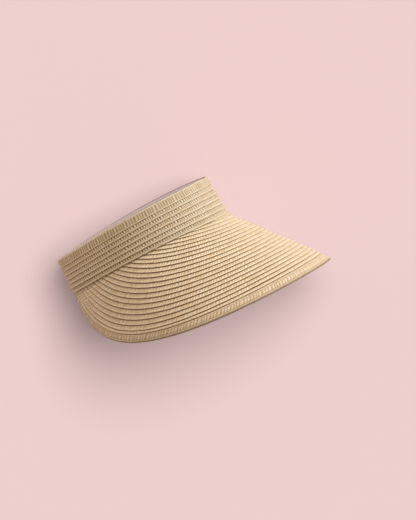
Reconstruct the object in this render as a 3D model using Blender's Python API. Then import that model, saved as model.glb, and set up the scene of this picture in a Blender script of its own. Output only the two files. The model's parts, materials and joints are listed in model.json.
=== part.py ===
"""A roll-up sun visor of plaited straw.

Rows of flat braid are sewn over one another like shingles. A few make an upright band round the
head, and many more make a wide brim that slopes down from it and dies out near the centre back.
A cotton sweatband lines the band. Behind the head the band is split, and a tab with hook and loop
pads closes it.

The pieces are worked out as worn, +X forward, +Y to the wearer's left and +Z up, in metres. They
hang on one empty, which then stands the whole visor on the edge of its brim, as on a table.
"""

import math

import bmesh
import bpy
import numpy as np
from mathutils import Matrix, Vector
from mathutils.geometry import intersect_point_tri

# Ring round the head, over the outside of the straw
RING_LENGTH = 0.204
RING_WIDTH = 0.176
RING_SADDLE = 0.0045  # the sides ride higher than front and back by this much

# Braid
STRAW = 0.001  # thickness of one braid
ROW_OVERLAP = 0.0012  # how far one row laps over the next
CLEARANCE = 0.0003  # between pieces that lie on one another
SEGMENT = 0.012  # longest flat along a row

# Band
BAND_ROWS = 6  # narrow rows, under the wide top row
BAND_HEIGHT_FRONT = 0.0483
BAND_HEIGHT_BACK = 0.0413
TOP_ROW_WIDTH = 0.010
BAND_TAPER = 0.002  # the top rim lies this far inside the band's foot
BACK_SPLIT = 0.012  # between the two ends of the band
SPLIT_ASIDE = 0.017  # its middle, left of the centre back

# Brim
BRIM_ROWS = 22  # narrow rows, inside the wide edge row
BRIM_LENGTH = 0.132  # down the slope, from the band to the tip
EDGE_ROW_WIDTH = 0.0105
EDGE_CORD_DIAMETER = 0.003
EDGE_CORD_SIDES = 8
FLARE_FRONT = math.radians(39.6)  # slope of the brim, from straight down
FLARE_BACK = math.radians(9.2)
FLARE_SPREAD = 0.91  # below 1, the front slope carries further round the sides
BRIM_REACH = 0.289  # half-length of the edge's ellipse, along the head line
BRIM_FALL = 0.0425  # that ellipse's centre, above the head line
ROW_DRAW_IN = 1.1  # how much less a row reaches back, for each metre in from the edge
TUCK = 0.003  # cut ends of the rows, up behind the band's foot

# Sweatband
SWEATBAND_THICKNESS = 0.0012
SWEATBAND_DROP = 0.0025  # its upper edge, below the top rim

# Closure: the tab is sewn inside the right end of the band and laps over the left end
TAB_HEIGHT = 0.030
TAB_THICKNESS = 0.0012
TAB_BASE_LENGTH = 0.022  # sewn down, right of the split's middle
TAB_REACH = 0.050  # free end, left of the split's middle
TAB_CORNER = 0.008
TAB_CORNER_STEPS = 6
TAB_SEGMENT = 0.003
PAD_THICKNESS = 0.001
PAD_MARGIN = 0.003  # from the pads to the tab's end and sides
HOOK_PAD_LENGTH = 0.026
LOOP_PAD_LENGTH = 0.036

# Sizes that follow from those above
EDGE_ZONE = EDGE_ROW_WIDTH + EDGE_CORD_DIAMETER
BRIM_PITCH = (BRIM_LENGTH - EDGE_ZONE) / BRIM_ROWS
LEAST_BAND_PITCH = (min(BAND_HEIGHT_FRONT, BAND_HEIGHT_BACK) - TOP_ROW_WIDTH) / BAND_ROWS
LEAST_PITCH = min(BRIM_PITCH, LEAST_BAND_PITCH)
LIP = (STRAW + CLEARANCE) * (1 + ROW_OVERLAP / LEAST_PITCH)  # a row's lip clears the row it laps over
SHELL = LIP + STRAW  # a layer of lapped rows, from its inner side out to the lips
HALF_LENGTH = RING_LENGTH / 2 - SHELL
HALF_WIDTH = RING_WIDTH / 2 - SHELL
BRIM_SEAT = -(LIP + 2 * CLEARANCE)  # inner side of the brim's rows, from that of the band's rows
SWEATBAND_FOOT = TUCK + SHELL + CLEARANCE
TAB_FOOT = (BAND_HEIGHT_BACK - TAB_HEIGHT) / 2
TAB_INSIDE = -(CLEARANCE + TAB_THICKNESS)  # inner face of the tab where it is sewn down
LOOP_PAD_INSIDE = SHELL + CLEARANCE
HOOK_PAD_INSIDE = LOOP_PAD_INSIDE + PAD_THICKNESS + CLEARANCE
TAB_OVER_PADS = HOOK_PAD_INSIDE + PAD_THICKNESS + CLEARANCE

# Arc length round the inner side of the band's foot, from the front centre by the left
FINE_STEPS = 1440
TURNS = np.linspace(0.0, 2 * np.pi, FINE_STEPS + 1)
STEPS = np.hypot(np.diff(HALF_LENGTH * np.cos(TURNS)), np.diff(HALF_WIDTH * np.sin(TURNS)))
ARCS = np.concatenate([[0.0], np.cumsum(STEPS)])
HALF_ROUND = ARCS[-1] / 2
SPLIT_AT = HALF_ROUND - SPLIT_ASIDE


def turn_at(arc):
    """The ring's angle at a signed arc length from the front centre, positive by the left."""
    return np.sign(arc) * np.interp(np.abs(arc), ARCS, TURNS)


def outward(turn):
    """The level direction straight out of the ring."""
    out = np.stack([np.cos(turn) / HALF_LENGTH, np.sin(turn) / HALF_WIDTH, np.zeros_like(turn)], axis=-1)
    return out / np.linalg.norm(out, axis=-1, keepdims=True)


def band_height(turn):
    """Height of the band, which is tallest over the forehead."""
    return BAND_HEIGHT_BACK + (BAND_HEIGHT_FRONT - BAND_HEIGHT_BACK) * (1 + np.cos(turn)) / 2


def on_band(turn, height, out):
    """Points so high above the band's foot, and so far out from the inner side of its rows."""
    saddle = RING_SADDLE * np.sin(turn) ** 2
    foot = np.stack([HALF_LENGTH * np.cos(turn), HALF_WIDTH * np.sin(turn), saddle + height], axis=-1)
    lean = BAND_TAPER * height / band_height(turn)
    return foot + outward(turn) * np.expand_dims(out - lean, -1)


def on_brim(arc, down, out):
    """Points so far down the slope from the head line, and out from the inner side of the rows."""
    turn = turn_at(arc)
    flare = FLARE_BACK + (FLARE_FRONT - FLARE_BACK) * ((1 + np.cos(turn)) / 2) ** FLARE_SPREAD
    sine, cosine = np.expand_dims(np.sin(flare), -1), np.expand_dims(np.cos(flare), -1)
    level, up = outward(turn), np.array([0.0, 0.0, 1.0])
    start = on_band(turn, np.zeros_like(turn), BRIM_SEAT)
    slope, lift = level * sine - up * cosine, level * cosine + up * sine
    return start + slope * np.expand_dims(down, -1) + lift * out


def row_line(inset, end, share):
    """A line along the brim, an ellipse so far in from its edge: arc length and distance down the slope."""
    depth = BRIM_LENGTH + BRIM_FALL - inset
    reach = BRIM_REACH - ROW_DRAW_IN * inset
    return np.stack([reach * np.sin(share * end), depth * np.cos(share * end) - BRIM_FALL])


def row_end(inset):
    """The angle on its ellipse at which such a line reaches the cut ends behind the band's foot."""
    return math.acos((BRIM_FALL - TUCK) / (BRIM_LENGTH + BRIM_FALL - inset))


def row_shares(inset):
    """Steps from -1 to 1 along such a line, of equal length and no longer than SEGMENT."""
    fine = np.linspace(-1.0, 1.0, FINE_STEPS + 1)
    points = on_brim(*row_line(inset, row_end(inset), fine), 0.0)
    length = np.concatenate([[0.0], np.cumsum(np.linalg.norm(np.diff(points, axis=0), axis=1))])
    return np.interp(np.linspace(0.0, length[-1], math.ceil(length[-1] / SEGMENT) + 1), length, fine)


def finish(name, colour, roughness):
    """A plain non-metal material."""
    material = bpy.data.materials.new(name)
    material.use_nodes = True
    shader = material.node_tree.nodes["Principled BSDF"]
    shader.inputs["Base Color"].default_value = (*colour, 1.0)
    shader.inputs["Roughness"].default_value = roughness
    shader.inputs["Metallic"].default_value = 0.0
    return material


def loft(name, lines, material, parent):
    """One closed body between lines that run its length side by side, in order round its section."""
    loops = np.stack(lines, axis=1) - np.array(parent.location)
    form = bmesh.new()
    rings = [[form.verts.new(point) for point in loop] for loop in loops]
    for step, (ring, following) in enumerate(zip(rings, rings[1:])):
        far_half = 2 * step + 1 > len(rings) - 1
        for i, corner in enumerate(ring):
            quad = [ring[i - 1], corner, following[i], following[i - 1]]
            # Bent quads split along parallel diagonals above and below, mirrored on the far half.
            form.faces.new(quad[1:] + quad[:1] if far_half != (i == 0) else quad)
    form.faces.new(rings[0])
    form.faces.new(rings[-1])
    bmesh.ops.recalc_face_normals(form, faces=form.faces)
    mesh = bpy.data.meshes.new(name)
    form.to_mesh(mesh)
    form.free()
    mesh.materials.append(material)
    piece = bpy.data.objects.new(name, mesh)
    piece.parent = parent
    bpy.context.collection.objects.link(piece)


def add_empty(name, location, parent=None):
    """An empty that carries pieces."""
    empty = bpy.data.objects.new(name, None)
    empty.location = location
    empty.parent = parent
    bpy.context.collection.objects.link(empty)
    return empty


def brim_row(name, inset_inner, inset_outer, lift_inner, lift_outer, material, visor):
    """One braid of the brim, with how far its two edges are lifted off the lowest layer."""
    end = row_end((inset_inner + inset_outer) / 2)
    share = row_shares((inset_inner + inset_outer) / 2)
    inner, outer = row_line(inset_inner, end, share), row_line(inset_outer, end, share)
    # Near its ends the braid is trimmed along the cut, which takes off its inner side.
    trim = np.clip((-TUCK - inner[1]) / (outer[1] - inner[1]), 0.0, 1.0)
    inner = inner + (outer - inner) * trim
    low = np.expand_dims(lift_inner + (lift_outer - lift_inner) * trim, -1)
    edges = [(inner, low), (inner, low + STRAW), (outer, lift_outer + STRAW), (outer, lift_outer)]
    loft(name, [on_brim(*line, out) for line, out in edges], material, visor)


def add_brim(straw, visor):
    """The brim's braids, each with its outer edge as a lip over the next, and the cord round its edge."""
    for row in range(1, BRIM_ROWS + 1):
        lip_inset = EDGE_ZONE + (BRIM_ROWS - row) * BRIM_PITCH
        tucked_inset = lip_inset + BRIM_PITCH + ROW_OVERLAP
        # The first row lies under the band alone, so it is level.
        tucked_lift = LIP if row == 1 else 0.0
        brim_row(f"brim_row_{row:02d}", tucked_inset, lip_inset, tucked_lift, LIP, straw, visor)
    brim_row("brim_edge_row", EDGE_ZONE + ROW_OVERLAP, EDGE_CORD_DIAMETER + CLEARANCE, 0.0, 0.0, straw, visor)

    radius = EDGE_CORD_DIAMETER / 2
    end, share = row_end(radius), row_shares(radius)
    lines = []
    for angle in np.linspace(0.0, 2 * np.pi, EDGE_CORD_SIDES, endpoint=False):
        line = row_line(radius - radius * math.cos(angle), end, share)
        lines.append(on_brim(*line, STRAW / 2 + radius * math.sin(angle)))
    loft("brim_edge_cord", lines, straw, visor)


def add_band(straw, cotton, visor):
    """The band's braids, each with its lower edge as a lip over the row below, and the sweatband."""
    left_end = SPLIT_AT - BACK_SPLIT / 2
    right_end = SPLIT_AT + BACK_SPLIT / 2 - 2 * HALF_ROUND
    steps = math.ceil((left_end - right_end) / SEGMENT)
    turn = np.linspace(turn_at(right_end), turn_at(left_end), steps + 1)
    pitch = (band_height(turn) - TOP_ROW_WIDTH) / BAND_ROWS
    rows = [(f"band_row_{row + 1}", row * pitch, (row + 1) * pitch + ROW_OVERLAP) for row in range(BAND_ROWS)]
    rows.append(("band_top_row", BAND_ROWS * pitch, band_height(turn)))
    for name, low, high in rows:
        edges = [(low, LIP), (low, SHELL), (high, STRAW), (high, 0.0)]
        loft(name, [on_band(turn, height, out) for height, out in edges], straw, visor)

    beside_tab = turn_at(SPLIT_AT + TAB_BASE_LENGTH + CLEARANCE - 2 * HALF_ROUND)
    turn = np.concatenate([[beside_tab], turn[turn > beside_tab]])
    low, high = np.full_like(turn, SWEATBAND_FOOT), band_height(turn) - SWEATBAND_DROP
    inside = -(CLEARANCE + SWEATBAND_THICKNESS)
    edges = [(low, inside), (low, -CLEARANCE), (high, -CLEARANCE), (high, inside)]
    loft("sweatband", [on_band(turn, height, out) for height, out in edges], cotton, visor)


def strap_lines(behind, inside, thickness, low, high):
    """The four edges of a strip on the band's back, at signed lengths from the split, right positive."""
    turn = turn_at(SPLIT_AT + behind)
    edges = [(low, inside), (low, inside + thickness), (high, inside + thickness), (high, inside)]
    return [on_band(turn, height, out) for height, out in edges]


def along(start, end):
    """Steps along a strip of the closure, no longer than TAB_SEGMENT."""
    return np.linspace(start, end, math.ceil(abs(end - start) / TAB_SEGMENT) + 1)


def add_closure(webbing, hook, loop, visor):
    """The tab's sewn base, the tab that folds on its stitch line, and the two pads that hold it shut."""
    fold = CLEARANCE / 2
    top = TAB_FOOT + TAB_HEIGHT
    base = along(fold, TAB_BASE_LENGTH)
    flat = np.full_like(base, TAB_INSIDE)
    foot, head = np.full_like(base, TAB_FOOT), np.full_like(base, top)
    loft("closure_tab_base", strap_lines(base, flat, TAB_THICKNESS, foot, head), webbing, visor)

    # The fold is a line up the outer face of the tab, in the middle of the split.
    fold_turn = np.full(2, turn_at(SPLIT_AT))
    fold_line = on_band(fold_turn, np.array([TAB_FOOT, top]), -CLEARANCE)
    hinge = add_empty("closure_hinge", Vector(fold_line.mean(axis=0)), visor)

    # The tab leaves by the split, climbs over the left end and its pads, and ends in round corners.
    corner = TAB_CORNER * np.cos(np.linspace(0.0, np.pi / 2, TAB_CORNER_STEPS + 1)[1:-1])
    tab = np.concatenate([along(-fold, TAB_CORNER - TAB_REACH), corner - TAB_REACH, [-TAB_REACH]])
    climb = np.clip((-tab - fold) / (BACK_SPLIT / 2 - 2 * CLEARANCE), 0.0, 1.0)
    inside = TAB_INSIDE + (TAB_OVER_PADS - TAB_INSIDE) * climb * climb * (3 - 2 * climb)
    into_corner = np.clip(TAB_CORNER - TAB_REACH - tab, 0.0, TAB_CORNER)
    cut = TAB_CORNER - np.sqrt(TAB_CORNER**2 - into_corner**2)
    loft("closure_tab", strap_lines(tab, inside, TAB_THICKNESS, TAB_FOOT + cut, top - cut), webbing, hinge)

    pads = [
        ("hook_pad", HOOK_PAD_LENGTH, HOOK_PAD_INSIDE, hook, hinge),
        ("loop_pad", LOOP_PAD_LENGTH, LOOP_PAD_INSIDE, loop, visor),
    ]
    for name, length, inside, material, parent in pads:
        pad = along(length + PAD_MARGIN - TAB_REACH, PAD_MARGIN - TAB_REACH)
        level = np.full_like(pad, inside)
        foot, head = np.full_like(pad, TAB_FOOT + PAD_MARGIN), np.full_like(pad, top - PAD_MARGIN)
        loft(name, strap_lines(pad, level, PAD_THICKNESS, foot, head), material, parent)


def mass_centre(pieces):
    """The centre of the pieces' volume, from the signed tetrahedra under their triangles."""
    moment, volume = np.zeros(3), 0.0
    for piece in pieces:
        piece.data.calc_loop_triangles()
        points = np.array([piece.matrix_world @ vertex.co for vertex in piece.data.vertices])
        corners = points[[list(triangle.vertices) for triangle in piece.data.loop_triangles]]
        tetra = np.einsum("ij,ij->i", corners[:, 0], np.cross(corners[:, 1], corners[:, 2])) / 6
        moment += (tetra[:, None] * corners.sum(axis=1) / 4).sum(axis=0)
        volume += tetra.sum()
    return Vector(moment / volume)


def stand_on_brim(visor):
    """Set the visor down on its brim, facing +X, with the centre of its box's base at the origin."""
    bpy.context.view_layer.update()
    pieces = [piece for piece in bpy.data.objects if piece.type == "MESH"]
    points = [piece.matrix_world @ vertex.co for piece in pieces for vertex in piece.data.vertices]
    centre = mass_centre(pieces)
    form = bmesh.new()
    for point in points:
        form.verts.new(point)
    bmesh.ops.convex_hull(form, input=form.verts)
    bmesh.ops.triangulate(form, faces=form.faces)
    bmesh.ops.recalc_face_normals(form, faces=form.faces)
    # A face of the hull is a way to rest if the centre of mass stands over it.
    rests = [face for face in form.faces if intersect_point_tri(centre, *(v.co for v in face.verts))]
    up = -min(rests, key=lambda face: face.normal.z).normal
    form.free()

    forward = Vector((1.0, 0.0, 0.0))
    forward = (forward - up * forward.dot(up)).normalized()
    turn = Matrix((forward, up.cross(forward), up))
    stood = np.array([turn @ point for point in points])
    low, high = stood.min(axis=0), stood.max(axis=0)
    base = Vector(((low[0] + high[0]) / 2, (low[1] + high[1]) / 2, low[2]))
    visor.matrix_world = Matrix.Translation(-base) @ turn.to_4x4()


def main():
    for item in list(bpy.data.objects):
        bpy.data.objects.remove(item)

    straw = finish("paper_straw", (0.60, 0.43, 0.25), 0.75)
    cotton = finish("sweatband_cotton", (0.72, 0.58, 0.52), 0.9)
    webbing = finish("tab_webbing", (0.52, 0.37, 0.22), 0.85)
    hook = finish("hook_tape", (0.55, 0.44, 0.31), 0.6)
    loop = finish("loop_tape", (0.50, 0.40, 0.28), 0.95)

    visor = add_empty("visor", Vector((0.0, 0.0, 0.0)))
    add_brim(straw, visor)
    add_band(straw, cotton, visor)
    add_closure(webbing, hook, loop, visor)
    stand_on_brim(visor)


main()
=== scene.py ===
"""A roll-up straw sun visor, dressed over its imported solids.

The file follows the visor as it is sewn: the brim's braids from the band outwards, the cord round the
edge, the band, the sweatband and the closure. The paper that it lies on, the light and the camera come last.
"""

import json

import bpy
import numpy as np
from mathutils import Matrix


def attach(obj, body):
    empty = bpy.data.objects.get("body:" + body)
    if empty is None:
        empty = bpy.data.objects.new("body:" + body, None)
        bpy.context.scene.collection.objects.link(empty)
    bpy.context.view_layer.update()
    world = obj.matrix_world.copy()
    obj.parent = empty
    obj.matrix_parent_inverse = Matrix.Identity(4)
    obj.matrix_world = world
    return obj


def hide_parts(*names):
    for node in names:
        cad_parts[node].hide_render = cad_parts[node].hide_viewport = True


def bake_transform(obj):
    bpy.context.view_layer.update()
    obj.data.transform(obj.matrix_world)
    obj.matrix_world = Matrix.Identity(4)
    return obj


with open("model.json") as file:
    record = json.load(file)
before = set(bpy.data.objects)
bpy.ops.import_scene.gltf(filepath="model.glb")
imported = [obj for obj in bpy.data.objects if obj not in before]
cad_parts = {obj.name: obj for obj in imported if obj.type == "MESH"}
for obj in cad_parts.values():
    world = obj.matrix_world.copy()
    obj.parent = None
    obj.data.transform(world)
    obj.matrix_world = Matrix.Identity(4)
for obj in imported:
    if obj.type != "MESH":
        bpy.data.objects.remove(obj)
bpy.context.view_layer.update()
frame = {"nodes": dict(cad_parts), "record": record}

# Narrow rows of the brim
# Flat braids, plaited from strips of tan paper and sewn together, each lapping over the next row out.
# They slope down from the band, and their cut ends are tucked up behind its foot.
RING_LENGTH, RING_WIDTH, RING_SADDLE, RING_POINTS = 0.204, 0.176, 0.0045, 1441
STRAW, ROW_OVERLAP, CLEARANCE = 0.001, 0.0012, 0.0003
BAND_ROWS, BAND_HEIGHT_FRONT, BAND_HEIGHT_BACK = 6, 0.0483, 0.0413
TOP_ROW_WIDTH, BAND_TAPER = 0.010, 0.002
BRIM_ROWS, BRIM_LENGTH, EDGE_ROW_WIDTH, EDGE_CORD_DIAMETER = 22, 0.132, 0.0105, 0.003
FLARE_FRONT, FLARE_BACK, FLARE_SPREAD = np.radians(39.6), np.radians(9.2), 0.91
BRIM_REACH, BRIM_FALL, ROW_DRAW_IN, TUCK, LINE_POINTS = 0.289, 0.0425, 1.1, 0.003, 1201
EDGE_ZONE = EDGE_ROW_WIDTH + EDGE_CORD_DIAMETER
BRIM_PITCH = (BRIM_LENGTH - EDGE_ZONE) / BRIM_ROWS
LEAST_PITCH = min(BRIM_PITCH, (BAND_HEIGHT_BACK - TOP_ROW_WIDTH) / BAND_ROWS)
LIP = (STRAW + CLEARANCE) * (1 + ROW_OVERLAP / LEAST_PITCH)
SHELL = LIP + STRAW
HALF_LENGTH, HALF_WIDTH = RING_LENGTH / 2 - SHELL, RING_WIDTH / 2 - SHELL
BRIM_SEAT = -(LIP + 2 * CLEARANCE)

TURNS = np.linspace(0.0, 2 * np.pi, RING_POINTS)
STEPS = np.hypot(np.diff(HALF_LENGTH * np.cos(TURNS)), np.diff(HALF_WIDTH * np.sin(TURNS)))
ARCS = np.concatenate([[0.0], np.cumsum(STEPS)])

HEAD = next(mount for mount in frame["record"]["mounts"] if mount["name"] == "head_opening")
FOOT, UP = np.array(HEAD["pos_m"]), -np.array(HEAD["axis"])
AHEAD, LEFT = np.array([UP[2], 0.0, -UP[0]]), np.array([0.0, 1.0, 0.0])


def as_stood(worn):
    """Points given ahead, left and up from the centre of the ring's foot, put where the visor stands."""
    return FOOT + worn @ np.array([AHEAD, LEFT, UP])


def turn_at(arc):
    """The ring's angle at a signed arc length from the front centre, positive by the left."""
    return np.sign(arc) * np.interp(np.abs(arc), ARCS, TURNS)


def outward(turn):
    """The level direction straight out of the ring, which is an ellipse."""
    out = np.stack([np.cos(turn) / HALF_LENGTH, np.sin(turn) / HALF_WIDTH, np.zeros_like(turn)], axis=-1)
    return out / np.linalg.norm(out, axis=-1, keepdims=True)


def band_height(turn):
    """The band is tallest over the forehead, and falls to the back as a cosine."""
    return BAND_HEIGHT_BACK + (BAND_HEIGHT_FRONT - BAND_HEIGHT_BACK) * (1 + np.cos(turn)) / 2


def on_band(turn, height, out):
    """Points on the ring's ellipse, so high above its foot and so far out from its rows' inner side."""
    saddle = RING_SADDLE * np.sin(turn) ** 2
    foot = np.stack([HALF_LENGTH * np.cos(turn), HALF_WIDTH * np.sin(turn), saddle + height], axis=-1)
    return foot + outward(turn) * (out - BAND_TAPER * height / band_height(turn))[..., None]


def on_brim(arc, down, out):
    """Points so far down the slope from the ring, and out from it. The slope is flattest at the front."""
    turn = turn_at(arc)
    flare = FLARE_BACK + (FLARE_FRONT - FLARE_BACK) * ((1 + np.cos(turn)) / 2) ** FLARE_SPREAD
    sine, cosine = np.sin(flare)[..., None], np.cos(flare)[..., None]
    level, up = outward(turn), np.array([0.0, 0.0, 1.0])
    start = on_band(turn, np.zeros_like(turn), np.full_like(turn, BRIM_SEAT))
    slope, lift = level * sine - up * cosine, level * cosine + up * sine
    return start + slope * down[..., None] + lift * out[..., None]


def row_line(inset, end, share):
    """A line along the brim, an ellipse so far in from its edge: arc length and distance down the slope."""
    depth, reach = BRIM_LENGTH + BRIM_FALL - inset, BRIM_REACH - ROW_DRAW_IN * inset
    return np.stack([reach * np.sin(share * end), depth * np.cos(share * end) - BRIM_FALL])


# At the sides the rows are drawn out to the edge, so the edge row is narrower there: most at the lip of the
# last narrow row but one, and less and less towards the band.
DRAWN_OUT, FRONT_SHARE, SIDE_SHARE, FADED_BY = 0.0056, 0.08, 0.95, 0.7 * BRIM_LENGTH
DRAWN_AT = [EDGE_CORD_DIAMETER, EDGE_ZONE, EDGE_ZONE + BRIM_PITCH, FADED_BY]
DRAWN_SHARES = [0.0, 0.66, 1.0, 0.0]


def drawn_out(inset, share):
    """An inset from the edge, less a squared sine along the row, which is 0 at the front and the ends."""
    wave = np.sin(np.pi * np.clip((np.abs(share) - FRONT_SHARE) / SIDE_SHARE, 0.0, 1.0)) ** 2
    return inset - DRAWN_OUT * np.interp(inset, DRAWN_AT, DRAWN_SHARES) * wave


def row_lines(inset_outer, inset_inner):
    """A row's outer and inner lines from its left end, the share of its width cut off, and its lengths."""
    middle = (inset_inner + inset_outer) / 2
    end = np.arccos((BRIM_FALL - TUCK) / (BRIM_LENGTH + BRIM_FALL - middle))
    share = np.linspace(1.0, -1.0, LINE_POINTS)
    outer, inner = (row_line(drawn_out(inset, share), end, share) for inset in (inset_outer, inset_inner))
    spine = (outer + inner) / 2
    spine = on_brim(spine[0], spine[1], np.zeros_like(share))
    length = np.concatenate([[0.0], np.cumsum(np.linalg.norm(np.diff(spine, axis=0), axis=1))])
    trim = np.clip((-TUCK - inner[1]) / (outer[1] - inner[1]), 0.0, 1.0)
    return outer, inner + (outer - inner) * trim, trim, length


# The plait: strands lie across the row in columns, close together along it, and lean one way or the other.
# A column, from the lip to the tucked edge, is its two sides as shares of the width, its lean as a share of
# the spacing, how deep the gaps round its strands are, and how high it stands at either side.
# Low stands and deep gaps darken the colour too: painted shade in the gaps and under each lip.
NARROW_PLAIT = [
    (0.0, 0.20, 0.4, 0.10, 1.0, 1.0),
    (0.20, 0.68, 0.15, 0.58, 1.0, 0.75),
    (0.68, 1.0, -0.35, 0.4, 0.24, 0.15),
]
LAST_PLAIT = [NARROW_PLAIT[0], (0.20, 0.64, 0.15, 0.58, 1.0, 0.75), (0.64, 1.0, -0.35, 0.4, 0.24, 0.15)]
INNER_SPACING, OUTER_SPACING, GAP_WIDTH, STATION = 0.0030, 0.0035, 1.5, 0.0005
UNEVEN, LONG_DRIFT, SHORT_DRIFT, DRIFT_OFFSET = 0.14, 0.0049, 0.0021, 3
END_DROP, END_SQUARENESS, LEAST_DEPTH, DEPTH_SPREAD = 0.3, 6, 0.85, 0.15
SECTION = np.array([[0.0, 0.05, 0.12, 0.16, 0.22, 0.30, 0.38, 0.48, 0.54, 0.64, 0.76, 0.82, 0.90, 1.0]])
EDGE_SQUARENESS, EDGE_THINNING = 6, 0.96
CORE, CROWN, UNDER_CROWN = 0.20, 0.46, 0.12
PRESSED, FRONT_GAPS, FRONT_REACH, FLAT_RELIEF = 0.85, 0.40, 0.145, 0.72


def scatter(strand, column=0, seed=0):
    """A tone from 0 to 1 for each strand, in no order but the same each run: the fraction of a large sine."""
    large = np.sin(strand * 12.9898 + column * 78.233 + seed * 37.719) * 43758.5453
    return large - np.floor(large)


def plait(along, across, columns, spacing, seed):
    """Height and tone of each strand, both 0 to 1. A strand is a pillow, low at its sides and its ends.

    Two sine waves along the row, a long and a short one, make the spacing a little uneven.
    """
    relief = np.zeros(np.broadcast_shapes(along.shape, across.shape))
    tone = np.zeros_like(relief)
    waves = np.sin(along / LONG_DRIFT + seed) + np.sin(along / SHORT_DRIFT + DRIFT_OFFSET * seed)
    drift = UNEVEN * waves
    for number, (start, end, lean, depth, high, low) in enumerate(columns):
        share = np.clip((across - start) / (end - start), 0.0, 1.0)
        phase = along / spacing + drift + lean * (share - 0.5) + 0.5 * number
        strand = np.floor(phase)
        sides = 1 - np.abs(2 * (phase - strand) - 1) ** GAP_WIDTH
        ends = 1 - END_DROP * np.abs(2 * share - 1) ** END_SQUARENESS
        inside = (across >= start) & (across <= end)
        shade = scatter(strand, number, seed)
        stand = high + (low - high) * share
        gap = depth * (LEAST_DEPTH + DEPTH_SPREAD * shade) * (1 - sides * ends)
        relief = np.where(inside, stand * (1 - gap), relief)
        tone = np.where(inside, shade, tone)
    return relief, tone


def gap_depth(from_front):
    """Gaps are shallow at the front, where rows are pressed flat, and deepen aside as a squared sine."""
    aside = np.clip(np.abs(from_front) / FRONT_REACH, 0.0, 1.0)
    return FRONT_GAPS + (1 - FRONT_GAPS) * np.sin(np.pi / 2 * aside) ** 2


def new_piece(name, points, faces, flat, material, attributes):
    """A mesh object of quads, with a UV map in metres of the flat piece and values on its points."""
    mesh = bpy.data.meshes.new(name)
    mesh.vertices.add(len(points))
    mesh.vertices.foreach_set("co", as_stood(points).astype(np.float32).ravel())
    mesh.loops.add(faces.size)
    mesh.loops.foreach_set("vertex_index", faces.astype(np.int32).ravel())
    mesh.polygons.add(len(faces))
    mesh.polygons.foreach_set("loop_start", np.arange(0, faces.size, 4, dtype=np.int32))
    mesh.update(calc_edges=True)
    mesh.shade_smooth()
    mesh.uv_layers.new(name="flat").uv.foreach_set("vector", flat[faces.ravel()].astype(np.float32).ravel())
    for label, values in attributes.items():
        layer = mesh.attributes.new(label, "FLOAT", "POINT")
        layer.data.foreach_set("value", values.astype(np.float32).ravel())
    mesh.materials.append(material)
    piece = bpy.data.objects.new(name, mesh)
    bpy.context.scene.collection.objects.link(piece)
    return piece


def band_faces(stations, around):
    """Quads of a closed band on a grid: round each section, along from one to the next, and both end caps."""
    index = np.arange(stations * around).reshape(stations, around)
    here, there = index[:-1], index[1:]
    sides = np.stack([here, np.roll(here, -1, 1), np.roll(there, -1, 1), there], axis=-1).reshape(-1, 4)
    half = around // 2
    caps = []
    for ring, step in ((index[0], -1), (index[-1], 1)):
        over, under = ring[:half], ring[half:][::-1]
        caps.append(np.stack([over[:-1], over[1:], under[1:], under[:-1]], axis=-1)[:, ::step])
    return np.concatenate([sides, *caps])


def add_strip(name, over, under, width, stations, material, attributes):
    """A closed strip from its outer and inner sides, which share their edges' places along and across it.

    Each attribute is a pair of arrays, the values on the outer side and those on the inner side.
    """
    points = np.concatenate([over, under[:, ::-1]], axis=1)
    across = np.concatenate([width, 2 * width.max() - width[:, ::-1]], axis=1)
    flat = np.stack(np.broadcast_arrays(stations, across), axis=-1)
    faces = band_faces(*points.shape[:2])
    values = {
        label: np.concatenate([outside, inside[:, ::-1]], axis=1)
        for label, (outside, inside) in attributes.items()
    }
    return new_piece(name, points.reshape(-1, 3), faces, flat.reshape(-1, 2), material, values)


def add_braid(name, node, length, width, surface, columns, spacing, seed, gaps=np.ones_like, inner_painted_shade=1.0):
    """A braid: the plait's section, rounded at both edges, carried along the row that surface gives.

    gaps says how far the relief stands out along it; inner_painted_shade darkens its inner side: painted
    shade.
    """
    along = np.linspace(0.0, length, round(length / STATION) + 1)[:, None]
    relief, tone = plait(along, SECTION, columns, spacing, seed)
    relief = FLAT_RELIEF + (relief - FLAT_RELIEF) * gaps(along)
    edge = np.sqrt(1 - EDGE_THINNING * np.abs(2 * SECTION - 1) ** EDGE_SQUARENESS)
    over = surface(along, SECTION, STRAW * (0.5 + edge * (CORE + CROWN * relief)))
    under = surface(along, SECTION, STRAW * (0.5 - edge * (CORE + UNDER_CROWN * relief)))
    values = {"relief": (relief, relief * inner_painted_shade), "tone": (tone, tone)}
    piece = add_strip(name, over, under, SECTION * width, along, paper_straw, values)
    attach(piece, "visor")
    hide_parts(node)
    return piece


def linear(hex_colour):
    """An sRGB hex colour as linear red, green, blue and alpha."""
    srgb = np.array([int(hex_colour[i : i + 2], 16) for i in (1, 3, 5)]) / 255
    return (*np.where(srgb <= 0.04045, srgb / 12.92, ((srgb + 0.055) / 1.055) ** 2.4), 1.0)


def add_node(material, kind, inputs, **settings):
    """Add a node with its settings, and with its inputs as values or as sockets to link from."""
    node = material.node_tree.nodes.new(kind)
    for label, value in settings.items():
        setattr(node, label, value)
    for label, value in inputs.items():
        if isinstance(value, bpy.types.NodeSocket):
            material.node_tree.links.new(value, node.inputs[label])
        else:
            node.inputs[label].default_value = value
    return node
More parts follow.
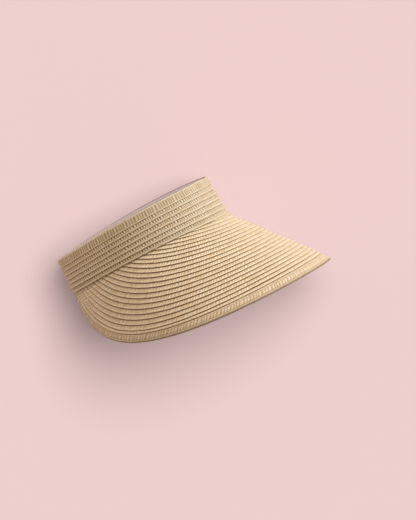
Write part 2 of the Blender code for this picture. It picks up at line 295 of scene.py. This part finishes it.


# Paper straw: flat strips of twisted kraft paper, dyed in the pulp and pressed. It is matt with a faint
# gloss, and each strip is a little lighter or darker. Painted shade turns it dark brown in the gaps between
# the strands and the crevices between the rows. The strands are drawn 3 to 4 mm apart, coarser than the
# real 2 to 2.5 mm, so that they show.
paper_straw = bpy.data.materials.new("paper_straw")
paper_straw.use_nodes = True
straw_shader = paper_straw.node_tree.nodes["Principled BSDF"]
straw_links = paper_straw.node_tree.links
FIBRE_ALONG, FIBRE_ACROSS, FIBRE_SHARE = 0.0004, 0.0025, 0.45
DARK_STRIP, LIGHT_STRIP, GAP_SHADE_FLOOR, GAP_SHADE_TOP = 0.1, 1.2 / (1 + FIBRE_SHARE), 0.1, 0.9
relief = add_node(paper_straw, "ShaderNodeAttribute", {}, attribute_name="relief").outputs["Fac"]
tone = add_node(paper_straw, "ShaderNodeAttribute", {}, attribute_name="tone").outputs["Fac"]
flat = add_node(paper_straw, "ShaderNodeUVMap", {}, uv_map="flat").outputs["UV"]
stretched = add_node(
    paper_straw, "ShaderNodeMapping", {"Vector": flat, "Scale": (1 / FIBRE_ALONG, 1 / FIBRE_ACROSS, 1.0)}
).outputs["Vector"]
fibre = add_node(
    paper_straw, "ShaderNodeTexNoise", {"Vector": stretched, "Scale": 1.0, "Detail": 3.0}
).outputs["Fac"]
strip_tone = add_node(
    paper_straw, "ShaderNodeMath", {0: fibre, 1: FIBRE_SHARE, 2: tone}, operation="MULTIPLY_ADD"
).outputs["Value"]
strip = add_node(paper_straw, "ShaderNodeValToRGB", {"Fac": strip_tone})
for stop, place, colour in ((0, DARK_STRIP, "#dec69e"), (1, LIGHT_STRIP, "#efdfc0")):
    strip.color_ramp.elements[stop].position = place
    strip.color_ramp.elements[stop].color = linear(colour)
# Painted shade: where the relief is low, in the gaps and crevices, the colour is darkened to brown.
depth = add_node(paper_straw, "ShaderNodeValToRGB", {"Fac": relief})
for stop, place, colour in ((0, GAP_SHADE_FLOOR, "#6e4f2a"), (1, GAP_SHADE_TOP, "#ffffff")):
    depth.color_ramp.elements[stop].position = place
    depth.color_ramp.elements[stop].color = linear(colour)
coloured = add_node(
    paper_straw,
    "ShaderNodeMix",
    {0: 1.0, 6: strip.outputs["Color"], 7: depth.outputs["Color"]},
    data_type="RGBA",
    blend_type="MULTIPLY",
).outputs[2]
straw_links.new(coloured, straw_shader.inputs["Base Color"])
ridges = add_node(
    paper_straw, "ShaderNodeBump", {"Height": fibre, "Strength": 0.35, "Distance": 0.0002}
).outputs["Normal"]
straw_links.new(ridges, straw_shader.inputs["Normal"])
straw_shader.inputs["Roughness"].default_value = 0.6
straw_shader.inputs["Specular IOR Level"].default_value = 0.2


def brim_gaps(along):
    """How deep the gaps are along the brim's row that so_far measures, which has the front at its middle."""
    return gap_depth(along - so_far[-1] / 2)


for row in range(1, BRIM_ROWS + 1):
    lip_inset = EDGE_ZONE + (BRIM_ROWS - row) * BRIM_PITCH
    outer, inner, trim, so_far = row_lines(lip_inset, lip_inset + BRIM_PITCH + ROW_OVERLAP)
    fall = 0.0 if row == 1 else PRESSED * LIP

    def brim_surface(along, across, height):
        """The row between its two lines, falling from its lip to the edge tucked under the row before."""
        start = [np.interp(along, so_far, line) for line in outer]
        end = [np.interp(along, so_far, line) for line in inner]
        arc, down = (a + (b - a) * across for a, b in zip(start, end))
        kept = (1 - np.interp(along, so_far, trim)) * brim_gaps(along)
        lift = (1 + PRESSED) / 2 * LIP - fall * kept * across
        return on_brim(arc, down, lift + height)

    node = f"brim_row_{row:02d}"
    width = BRIM_PITCH + ROW_OVERLAP
    columns = LAST_PLAIT if row == BRIM_ROWS else NARROW_PLAIT
    spacing = INNER_SPACING + (OUTER_SPACING - INNER_SPACING) * row / BRIM_ROWS
    add_braid(f"{node}_braid", node, so_far[-1], width, brim_surface, columns, spacing, row, brim_gaps)

# Wide row round the brim's edge
# A braid twice as wide as the others, whose strands stand almost straight across it.
# It is tucked under the last narrow row, and the edge cord is sewn along its outer side.
# Its low columns darken its colour: painted shade in two grooves, at the edge and under the last row's lip.
EDGE_PLAIT = [
    (0.0, 0.14, 0.9, 0.10, 0.66, 0.66),
    (0.14, 0.18, 0.0, 0.10, 0.30, 0.30),
    (0.18, 0.62, 0.15, 0.66, 0.88, 0.90),
    (0.62, 0.66, 0.0, 0.10, 0.50, 0.50),
    (0.66, 0.80, -0.35, 0.50, 0.90, 0.88),
    (0.80, 1.0, -0.35, 0.4, 0.72, 0.58),
]
EDGE_SPACING, EDGE_SWELL, OVER_CORD, CORD_LIFT, LIFT_FADE = 0.0041, 0.0006, 0.0014, 0.0009, 5
EDGE_SEED, EDGE_WIDTH = BRIM_ROWS + 1, EDGE_ROW_WIDTH + ROW_OVERLAP
outer, inner, trim, so_far = row_lines(EDGE_CORD_DIAMETER - OVER_CORD, EDGE_ZONE + ROW_OVERLAP)


def edge_surface(along, across, height):
    """The row between its two lines, swelling as a squared sine across it, and lifted over the cord."""
    start = [np.interp(along, so_far, line) for line in outer]
    end = [np.interp(along, so_far, line) for line in inner]
    arc, down = (a + (b - a) * across for a, b in zip(start, end))
    over_cord = np.clip(1 - LIFT_FADE * across, 0.0, 1.0) ** 2
    lift = EDGE_SWELL * np.sin(np.pi * across) ** 2 + CORD_LIFT * over_cord
    return on_brim(arc, down, height + lift)


add_braid(
    "brim_edge_braid",
    "brim_edge_row",
    so_far[-1],
    EDGE_WIDTH,
    edge_surface,
    EDGE_PLAIT,
    EDGE_SPACING,
    EDGE_SEED,
    brim_gaps,
)

# Cord round the brim's edge
# Three paper strands twisted into a 3 mm cord, sewn to the outermost braid, which holds the edge's curve.
CORD_PLIES, CORD_TWIST, CORD_SIDES, PLY_DEPTH = 3, 0.009, 18, 0.10
CORD_SLACK, CORD_SEAT, CORD_PAINTED_SHADE = 0.0002, 0.0001, 0.62
radius = EDGE_CORD_DIAMETER / 2 - CORD_SLACK
middle, _, _, so_far = row_lines(radius, radius - CLEARANCE)
along = np.linspace(0.0, so_far[-1], round(so_far[-1] / STATION) + 1)[:, None]
# Each ply is a ridge, a cosine taken without its sign, and the ridges wind round the cord along it.
round_it = np.linspace(0.0, 2 * np.pi, CORD_SIDES, endpoint=False)[None, :]
ply_angle = CORD_PLIES * (round_it - 2 * np.pi * along / CORD_TWIST)
ply = np.abs(np.cos(ply_angle / 2))
swell = radius * (1 - PLY_DEPTH * (1 - ply))
arc, down = (np.interp(along, so_far, line) for line in middle)
points = on_brim(arc + 0 * round_it, down - swell * np.cos(round_it), CORD_SEAT + swell * np.sin(round_it))
flat = np.stack(np.broadcast_arrays(along, round_it * radius), axis=-1)
strand = np.floor(ply_angle / (2 * np.pi) + 0.5)
# Painted shade: the colour is darker between the plies, and the whole cord a little darker, under the edge.
edge_cord = new_piece(
    "brim_edge_twist",
    points.reshape(-1, 3),
    band_faces(*points.shape[:2]),
    flat.reshape(-1, 2),
    paper_straw,
    {"relief": CORD_PAINTED_SHADE * ply, "tone": scatter(strand)},
)
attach(edge_cord, "visor")
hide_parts("brim_edge_cord")

# Band
# Six narrow braids and a wide one at the top rim, sewn into a ring that is split left of the centre back.
# Each has its lower edge over the row below it, and the lowest covers the tucked ends of the brim.
BAND_PLAIT = [
    (0.0, 0.15, 0.9, 0.10, 1.0, 1.0),
    (0.15, 0.36, 0.15, 0.5, 0.85, 0.85),
    (0.36, 0.84, -0.1, 1.0, 0.95, 0.95),
    (0.84, 1.0, -0.35, 0.5, 0.4, 0.4),
]
# Its stands below 1 darken the top row's colour all along: painted shade.
TOP_PLAIT = [
    (0.0, 0.13, 0.9, 0.10, 1.0, 1.0),
    (0.13, 0.90, 0.1, 0.75, 0.82, 0.82),
    (0.90, 1.0, 0.3, 0.10, 0.75, 0.75),
]
BAND_SPACING, TOP_SPACING, BAND_EASE, BAND_SEED = 0.0032, 0.0035, 0.6, 40
FOOT_LIP, ROW_LIP, LIP_FALL = 0.75 * LIP, 1.15 * LIP, 0.07 * LIP
FLAT_FROM, FLAT_BY, LEFT_STANDING = 0.90, 0.975, 0.25
BACK_SPLIT, SPLIT_ASIDE, HALF_ROUND = 0.012, 0.017, ARCS[-1] / 2
SPLIT_AT = HALF_ROUND - SPLIT_ASIDE
# The inner side of the rim is painted darker along its top: painted shade.
RIM_SHADE_FROM, RIM_SHADE = 0.85, 0.5
RIM_PAINTED_SHADE = np.where(SECTION > RIM_SHADE_FROM, RIM_SHADE, 1.0)
BAND_END, BAND_LENGTH = SPLIT_AT - BACK_SPLIT / 2, 2 * HALF_ROUND - BACK_SPLIT


def pressed_behind(along):
    """How far the rows stand up: fully as far as the back, then less in a straight line to the right end."""
    return np.interp(along / BAND_LENGTH, [FLAT_FROM, FLAT_BY], [1.0, LEFT_STANDING])


def band_gaps(along):
    """The band's gaps: the brim's depths to a power that eases them, less where the right end is flat."""
    return gap_depth(along - BAND_END) ** BAND_EASE * pressed_behind(along)


for row in range(BAND_ROWS + 1):
    top = row == BAND_ROWS
    lip = ROW_LIP - row * LIP_FALL if row else FOOT_LIP

    def band_surface(along, across, height):
        """The row round the ring from its left end, its lower edge lifted over the row below it."""
        turn = turn_at(BAND_END - along) + 0 * across
        pitch = (band_height(turn) - TOP_ROW_WIDTH) / BAND_ROWS
        rise = TOP_ROW_WIDTH if top else pitch + ROW_OVERLAP
        lift = lip * pressed_behind(along) * (1 - across)
        return on_band(turn, row * pitch + rise * across, lift + height)

    node = "band_top_row" if top else f"band_row_{row + 1}"
    width = TOP_ROW_WIDTH if top else LEAST_PITCH + ROW_OVERLAP
    columns, spacing = (TOP_PLAIT, TOP_SPACING) if top else (BAND_PLAIT, BAND_SPACING)
    shade = RIM_PAINTED_SHADE if top else 1.0
    seed = BAND_SEED + row
    add_braid(
        f"{node}_braid", node, BAND_LENGTH, width, band_surface, columns, spacing, seed, band_gaps, shade
    )

# Sweatband
# A strip of pale cotton twill, folded along its top edge and sewn inside the band to keep the straw off
# the skin. It runs from the left end of the band to the closure's sewn base.
SWEATBAND_THICKNESS, SWEATBAND_DROP = 0.0012, 0.0008
SWEATBAND_FOOT = TUCK + SHELL + CLEARANCE
TAB_BASE_LENGTH = 0.022
CLOTH_STATION, CLOTH_COLUMNS, HEM_THINNING, HEM_SQUARENESS = 0.002, 15, 0.9, 12
PUCKER, PUCKER_SPACING, PUCKER_SLANT = 0.0002, 0.011, 2

# Cotton twill: a matt, slightly downy cloth of lilac white, with fine slanting ribs. The ribs are drawn
# 1.1 mm apart, coarser than real, so that they show. A wave texture turns by 20 radians a unit at scale 1.
TWILL, WAVE_RADIANS = 0.0011, 20
cotton_twill = bpy.data.materials.new("cotton_twill")
cotton_twill.use_nodes = True
twill_shader = cotton_twill.node_tree.nodes["Principled BSDF"]
flat = add_node(cotton_twill, "ShaderNodeUVMap", {}, uv_map="flat").outputs["UV"]
TWILL_SLANT = (0.0, 0.0, np.radians(45))
slanted = add_node(
    cotton_twill, "ShaderNodeMapping", {"Vector": flat, "Rotation": TWILL_SLANT}
).outputs["Vector"]
weave = add_node(
    cotton_twill,
    "ShaderNodeTexWave",
    {"Vector": slanted, "Scale": 2 * np.pi / TWILL / WAVE_RADIANS, "Distortion": 0.6, "Detail": 2.0},
).outputs["Fac"]
yarn = add_node(cotton_twill, "ShaderNodeValToRGB", {"Fac": weave})
yarn.color_ramp.elements[0].color, yarn.color_ramp.elements[1].color = linear("#ddd4de"), linear("#f5eef6")
cotton_twill.node_tree.links.new(yarn.outputs["Color"], twill_shader.inputs["Base Color"])
ribs = add_node(cotton_twill, "ShaderNodeBump", {"Height": weave, "Strength": 0.5, "Distance": 0.0003})
cotton_twill.node_tree.links.new(ribs.outputs["Normal"], twill_shader.inputs["Normal"])
twill_shader.inputs["Roughness"].default_value = 0.9
twill_shader.inputs["Sheen Weight"].default_value = 0.2

cloth_length = BAND_LENGTH + BACK_SPLIT / 2 - TAB_BASE_LENGTH - CLEARANCE
along = np.linspace(0.0, cloth_length, round(cloth_length / CLOTH_STATION) + 1)[:, None]
across = np.linspace(0.0, 1.0, CLOTH_COLUMNS)[None, :]
turn = turn_at(BAND_END - along) + 0 * across
high = band_height(turn) - SWEATBAND_DROP
height = SWEATBAND_FOOT + (high - SWEATBAND_FOOT) * across
# It thins at both hems, and its inner side puckers in a slanting sine wave that dies out at them.
hem = np.sqrt(1 - HEM_THINNING * np.abs(2 * across - 1) ** HEM_SQUARENESS)
ripple = np.sin(2 * np.pi * along / PUCKER_SPACING + PUCKER_SLANT * across)
pucker = PUCKER * ripple * np.sin(np.pi * across)
outside = on_band(turn, height, -CLEARANCE - SWEATBAND_THICKNESS * (0.5 - 0.5 * hem) + 0 * turn)
inside = on_band(turn, height, -CLEARANCE - SWEATBAND_THICKNESS * (0.5 + 0.5 * hem) + pucker)
sweatband_width = BAND_HEIGHT_FRONT - SWEATBAND_DROP - SWEATBAND_FOOT
sweatband = add_strip("sweatband_cloth", outside, inside, across * sweatband_width, along, cotton_twill, {})
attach(sweatband, "visor")
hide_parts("sweatband")

# Closure tab
# A strip of tan webbing, sewn inside the right end of the band, that comes out by the split and laps over
# the left end. It folds in the middle of the split.
TAB_HEIGHT, TAB_THICKNESS, TAB_REACH, TAB_CORNER = 0.030, 0.0012, 0.050, 0.008
PAD_THICKNESS, PAD_MARGIN, HOOK_PAD_LENGTH, LOOP_PAD_LENGTH = 0.001, 0.003, 0.026, 0.036
TAB_FOOT = (BAND_HEIGHT_BACK - TAB_HEIGHT) / 2
TAB_INSIDE = -(CLEARANCE + TAB_THICKNESS)
LOOP_PAD_INSIDE = SHELL + CLEARANCE
HOOK_PAD_INSIDE = LOOP_PAD_INSIDE + PAD_THICKNESS + CLEARANCE
TAB_OVER_PADS = HOOK_PAD_INSIDE + PAD_THICKNESS + CLEARANCE
TAB_STATION, TAB_COLUMNS, CORNER_SHARE, FOLD_HALF = 0.0006, 25, 0.995, 0.002
SELVEDGE_THINNING, SELVEDGE_SQUARENESS = 0.9, 10


def on_strap(behind, height, out):
    """Points on the band's back, at signed lengths from the split's middle, positive to the right end."""
    return on_band(turn_at(SPLIT_AT + behind), height, out)


# Cotton webbing: a matt tan tape, woven with thick weft yarns that make ribs across it. The ribs are drawn
# 1.1 mm apart, coarser than real, so that they show.
RIB = 0.0011
webbing = bpy.data.materials.new("cotton_webbing")
webbing.use_nodes = True
webbing_shader = webbing.node_tree.nodes["Principled BSDF"]
flat = add_node(webbing, "ShaderNodeUVMap", {}, uv_map="flat").outputs["UV"]
weft = add_node(
    webbing,
    "ShaderNodeTexWave",
    {"Vector": flat, "Scale": 2 * np.pi / RIB / WAVE_RADIANS, "Distortion": 0.8, "Detail": 2.0},
).outputs["Fac"]
rib = add_node(webbing, "ShaderNodeValToRGB", {"Fac": weft})
rib.color_ramp.elements[0].color, rib.color_ramp.elements[1].color = linear("#a98a5c"), linear("#cdb084")
webbing.node_tree.links.new(rib.outputs["Color"], webbing_shader.inputs["Base Color"])
ribbed = add_node(webbing, "ShaderNodeBump", {"Height": weft, "Strength": 0.6, "Distance": 0.0003})
webbing.node_tree.links.new(ribbed.outputs["Normal"], webbing_shader.inputs["Normal"])
webbing_shader.inputs["Roughness"].default_value = 0.85

tab_length = TAB_BASE_LENGTH + TAB_REACH
along = np.linspace(0.0, tab_length, round(tab_length / TAB_STATION) + 1)[:, None]
across = np.linspace(0.0, 1.0, TAB_COLUMNS)[None, :]
behind = TAB_BASE_LENGTH - along
# It climbs through the split in a smooth step, from inside the band to over the pads, and ends in two arcs.
climb = np.clip(-behind / (BACK_SPLIT / 2 - 2 * CLEARANCE), 0.0, 1.0)
lift = TAB_INSIDE + (TAB_OVER_PADS - TAB_INSIDE) * climb**2 * (3 - 2 * climb)
into_corner = np.clip(TAB_CORNER - TAB_REACH - behind, 0.0, TAB_CORNER)
cut = TAB_CORNER - np.sqrt(TAB_CORNER**2 - (into_corner * CORNER_SHARE) ** 2)
height = TAB_FOOT + cut + (TAB_HEIGHT - 2 * cut) * across
selvedge = np.sqrt(1 - SELVEDGE_THINNING * np.abs(2 * across - 1) ** SELVEDGE_SQUARENESS)
outside = on_strap(behind + 0 * across, height, lift + TAB_THICKNESS * (0.5 + 0.5 * selvedge))
inside = on_strap(behind + 0 * across, height, lift + TAB_THICKNESS * (0.5 - 0.5 * selvedge))
tab = add_strip("closure_tab_webbing", outside, inside, across * TAB_HEIGHT, along, webbing, {})
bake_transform(tab)
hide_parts("closure_tab_base", "closure_tab")

# Hook and loop pads
# Two rectangles of nylon tape, sewn on to face one another: stiff hooks under the tab's end, and soft
# brushed loops on the band's left end.
PAD_STATION, NAP, NAP_SEED, DARK_FLECK, LIGHT_FLECK = 0.0004, 0.00035, 7, 0.3, 0.7

# Nylon tapes: a close field of stiff hooks, and loops brushed to a soft nap. Both look matt and flecked.
# The flecks are 1.2 mm and 0.7 mm across, coarser than the real hooks and loops, so that they show.
nylon_hooks = bpy.data.materials.new("nylon_hook_tape")
brushed_loops = bpy.data.materials.new("brushed_nylon_loops")
for tape, dark, light, fleck in (
    (nylon_hooks, "#b8a37f", "#d8c7a4", 0.0012),
    (brushed_loops, "#b39c74", "#d2be98", 0.0007),
):
    tape.use_nodes = True
    tape_shader = tape.node_tree.nodes["Principled BSDF"]
    flat = add_node(tape, "ShaderNodeUVMap", {}, uv_map="flat").outputs["UV"]
    grain = {"Vector": flat, "Scale": 1 / fleck, "Detail": 4.0}
    speckle = add_node(tape, "ShaderNodeTexNoise", grain).outputs["Fac"]
    mottle = add_node(tape, "ShaderNodeValToRGB", {"Fac": speckle})
    for stop, place, colour in ((0, DARK_FLECK, dark), (1, LIGHT_FLECK, light)):
        mottle.color_ramp.elements[stop].position = place
        mottle.color_ramp.elements[stop].color = linear(colour)
    tape.node_tree.links.new(mottle.outputs["Color"], tape_shader.inputs["Base Color"])
    raised = add_node(tape, "ShaderNodeBump", {"Height": speckle, "Strength": 0.6, "Distance": 0.0003})
    tape.node_tree.links.new(raised.outputs["Normal"], tape_shader.inputs["Normal"])
    tape_shader.inputs["Roughness"].default_value = 0.7

nap = np.random.default_rng(NAP_SEED)
for node, length, level, body, tape, slot in (
    ("hook_pad", HOOK_PAD_LENGTH, HOOK_PAD_INSIDE, "tab", nylon_hooks, "hook_tape"),
    ("loop_pad", LOOP_PAD_LENGTH, LOOP_PAD_INSIDE, "visor", brushed_loops, "loop_tape"),
):
    along = np.linspace(0.0, length, round(length / PAD_STATION) + 1)[:, None]
    tall = TAB_HEIGHT - 2 * PAD_MARGIN
    across = np.linspace(0.0, 1.0, round(tall / PAD_STATION) + 1)[None, :]
    behind = length + PAD_MARGIN - TAB_REACH - along + 0 * across
    height = TAB_FOOT + PAD_MARGIN + tall * across + 0 * along
    fuzz = NAP * nap.random(behind.shape)
    over = PAD_THICKNESS - (fuzz if node == "loop_pad" else 0.0)
    under = fuzz if node == "hook_pad" else 0.0
    outside = on_strap(behind, height, level + over + 0 * behind)
    inside = on_strap(behind, height, level + under + 0 * behind)
    pad = add_strip(f"{node}_tape", outside, inside, across * tall, along, tape, {})
    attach(pad, body)
    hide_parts(node)

# Paper, light and camera
# The visor lies on its left side on a large sheet of pink paper, which touches the band's rim and the brim's
# edge, and lets the view through from behind. Soft lamps light the straw from the front and from above.
PAPER_LEAN, PAPER_SIZE = np.radians(19.5), 6.0
PAPER_PINK, PAPER_LIT, PAPER_GLOW = "#edd0ce", "#7e6e6e", 0.25
away = as_stood(np.array([0.0, np.cos(PAPER_LEAN), np.sin(PAPER_LEAN)])) - FOOT
rim_and_edge = [frame["nodes"][name] for name in ("band_top_row", "brim_edge_cord")]
reach = max(np.dot(vertex.co, away) for touching in rim_and_edge for vertex in touching.data.vertices)

# Pink paper: matt, with no gloss at all. It glows a little to the camera, so that its shadows stay pale.
paper_pink = bpy.data.materials.new("pink_paper")
paper_pink.use_nodes = True
paper_shader = paper_pink.node_tree.nodes["Principled BSDF"]
paper_shader.inputs["Base Color"].default_value = linear(PAPER_LIT)
paper_shader.inputs["Roughness"].default_value = 1.0
paper_shader.inputs["Specular IOR Level"].default_value = 0.0


def in_view(owner):
    """1 for a ray from the camera, a mirror or a glass, and 0 for one that only lights: the most of three."""
    path = add_node(owner, "ShaderNodeLightPath", {}).outputs
    rays = path["Is Camera Ray"]
    for other in ("Is Glossy Ray", "Is Transmission Ray"):
        most = add_node(owner, "ShaderNodeMath", {0: rays, 1: path[other]}, operation="MAXIMUM")
        rays = most.outputs["Value"]
    return rays


glow = add_node(
    paper_pink, "ShaderNodeMath", {0: in_view(paper_pink), 1: PAPER_GLOW}, operation="MULTIPLY"
).outputs["Value"]
paper_shader.inputs["Emission Color"].default_value = linear(PAPER_PINK)
paper_pink.node_tree.links.new(glow, paper_shader.inputs["Emission Strength"])
back = add_node(paper_pink, "ShaderNodeNewGeometry", {}).outputs["Backfacing"]
clear = add_node(paper_pink, "ShaderNodeBsdfTransparent", {}).outputs["BSDF"]
one_sided = add_node(paper_pink, "ShaderNodeMixShader", {0: back, 1: paper_shader.outputs["BSDF"], 2: clear})
paper_output = paper_pink.node_tree.nodes["Material Output"]
paper_pink.node_tree.links.new(one_sided.outputs["Shader"], paper_output.inputs["Surface"])

across = np.cross(AHEAD, away)
corner = PAPER_SIZE / 2
middle = FOOT + away * (reach - np.dot(FOOT, away))
signs = ((-1, -1), (1, -1), (1, 1), (-1, 1))
corners = [middle + AHEAD * x * corner + across * y * corner for x, y in signs]
sheet = bpy.data.meshes.new("paper")
sheet.from_pydata([tuple(point) for point in corners], [], [(0, 1, 2, 3)])
sheet.materials.append(paper_pink)
paper = bpy.data.objects.new("paper", sheet)
bpy.context.scene.collection.objects.link(paper)


def aimed(back, up):
    """A rotation whose +Z points back at the viewer or the light, with +Y as near up as it can be."""
    right = np.cross(up, back) / np.linalg.norm(np.cross(up, back))
    return Matrix(np.stack([right, np.cross(back, right), back], axis=1).tolist())


# Each lamp lights only some of the scene. The key, from the front, leaves out the sweatband, which it would
# make too bright, and the paper. The overhead one leaves out the paper, which has a lamp of its own.
paper_alone = bpy.data.collections.new("paper_alone")
all_but_paper = bpy.data.collections.new("all_but_paper")
paper_alone.objects.link(paper)
all_but_paper.objects.link(paper)
all_but_paper.collection_objects[0].light_linking.link_state = "EXCLUDE"
outside_ring = bpy.data.collections.new("outside_ring")
for shaded in (paper, sweatband):
    outside_ring.objects.link(shaded)
for unlit in outside_ring.collection_objects:
    unlit.light_linking.link_state = "EXCLUDE"
for name, source, colour, strength, spread, lit in (
    ("key", (0.95, -0.10, 0.30), "#f4fbff", 2.55, 25.0, outside_ring),
    ("overhead", (0.0, -0.42, 0.907), "#fff2e1", 1.26, 30.0, all_but_paper),
    ("on_paper", (0.28, -0.957, 0.086), "#ffffff", 9.7, 28.0, paper_alone),
):
    sun = bpy.data.lights.new(name, "SUN")
    sun.energy, sun.angle, sun.color = strength, np.radians(spread), linear(colour)[:3]
    lamp = bpy.data.objects.new(name, sun)
    towards = as_stood(np.array(source) / np.linalg.norm(source)) - FOOT
    lamp.matrix_world = aimed(towards, UP).to_4x4()
    bpy.context.scene.collection.objects.link(lamp)
    lamp.light_linking.receiver_collection = lit
    if lit is not paper_alone:
        lamp.light_linking.blocker_collection = all_but_paper

# The room gives a weak warm fill, and looks as pink as the paper beyond its edges.
world = bpy.data.worlds.new("studio")
bpy.context.scene.world = world
world.use_nodes = True
fill = world.node_tree.nodes["Background"]
fill.inputs["Color"].default_value = linear("#ffebd7")
fill.inputs["Strength"].default_value = 0.36
beyond = add_node(world, "ShaderNodeBackground", {"Color": linear(PAPER_PINK), "Strength": 1.0})
mixed = add_node(
    world,
    "ShaderNodeMixShader",
    {0: in_view(world), 1: fill.outputs["Background"], 2: beyond.outputs["Background"]},
)
world.node_tree.links.new(mixed.outputs["Shader"], world.node_tree.nodes["World Output"].inputs["Surface"])

# The camera stands 8 m off on the wearer's right, turned a little to the front, and rolled.
FRAME_PIXELS, PIXEL, CAMERA_DISTANCE, SENSOR = 520, 0.001151, 8.0, 36.0
FRAME_HEIGHT = FRAME_PIXELS * PIXEL
YAW, ELEVATION, ROLL = np.radians(4.10), np.radians(2.14), np.radians(27.48)
AIM = np.array([0.0558, 0.0, -0.0380])
back = np.array([np.sin(YAW) * np.cos(ELEVATION), -np.cos(YAW) * np.cos(ELEVATION), np.sin(ELEVATION)])
right = np.array([np.cos(YAW), np.sin(YAW), 0.0])
upright = np.sin(ROLL) * right + np.cos(ROLL) * np.cross(back, right)
lens = bpy.data.cameras.new("camera")
lens.sensor_width = SENSOR
lens.lens = SENSOR * CAMERA_DISTANCE / FRAME_HEIGHT
camera = bpy.data.objects.new("camera", lens)
turned = aimed(as_stood(back) - FOOT, as_stood(upright) - FOOT)
camera.matrix_world = Matrix.Translation(as_stood(AIM + CAMERA_DISTANCE * back).tolist()) @ turned.to_4x4()
bpy.context.scene.collection.objects.link(camera)
bpy.context.scene.camera = camera
bpy.context.scene.view_settings.view_transform = "Standard"
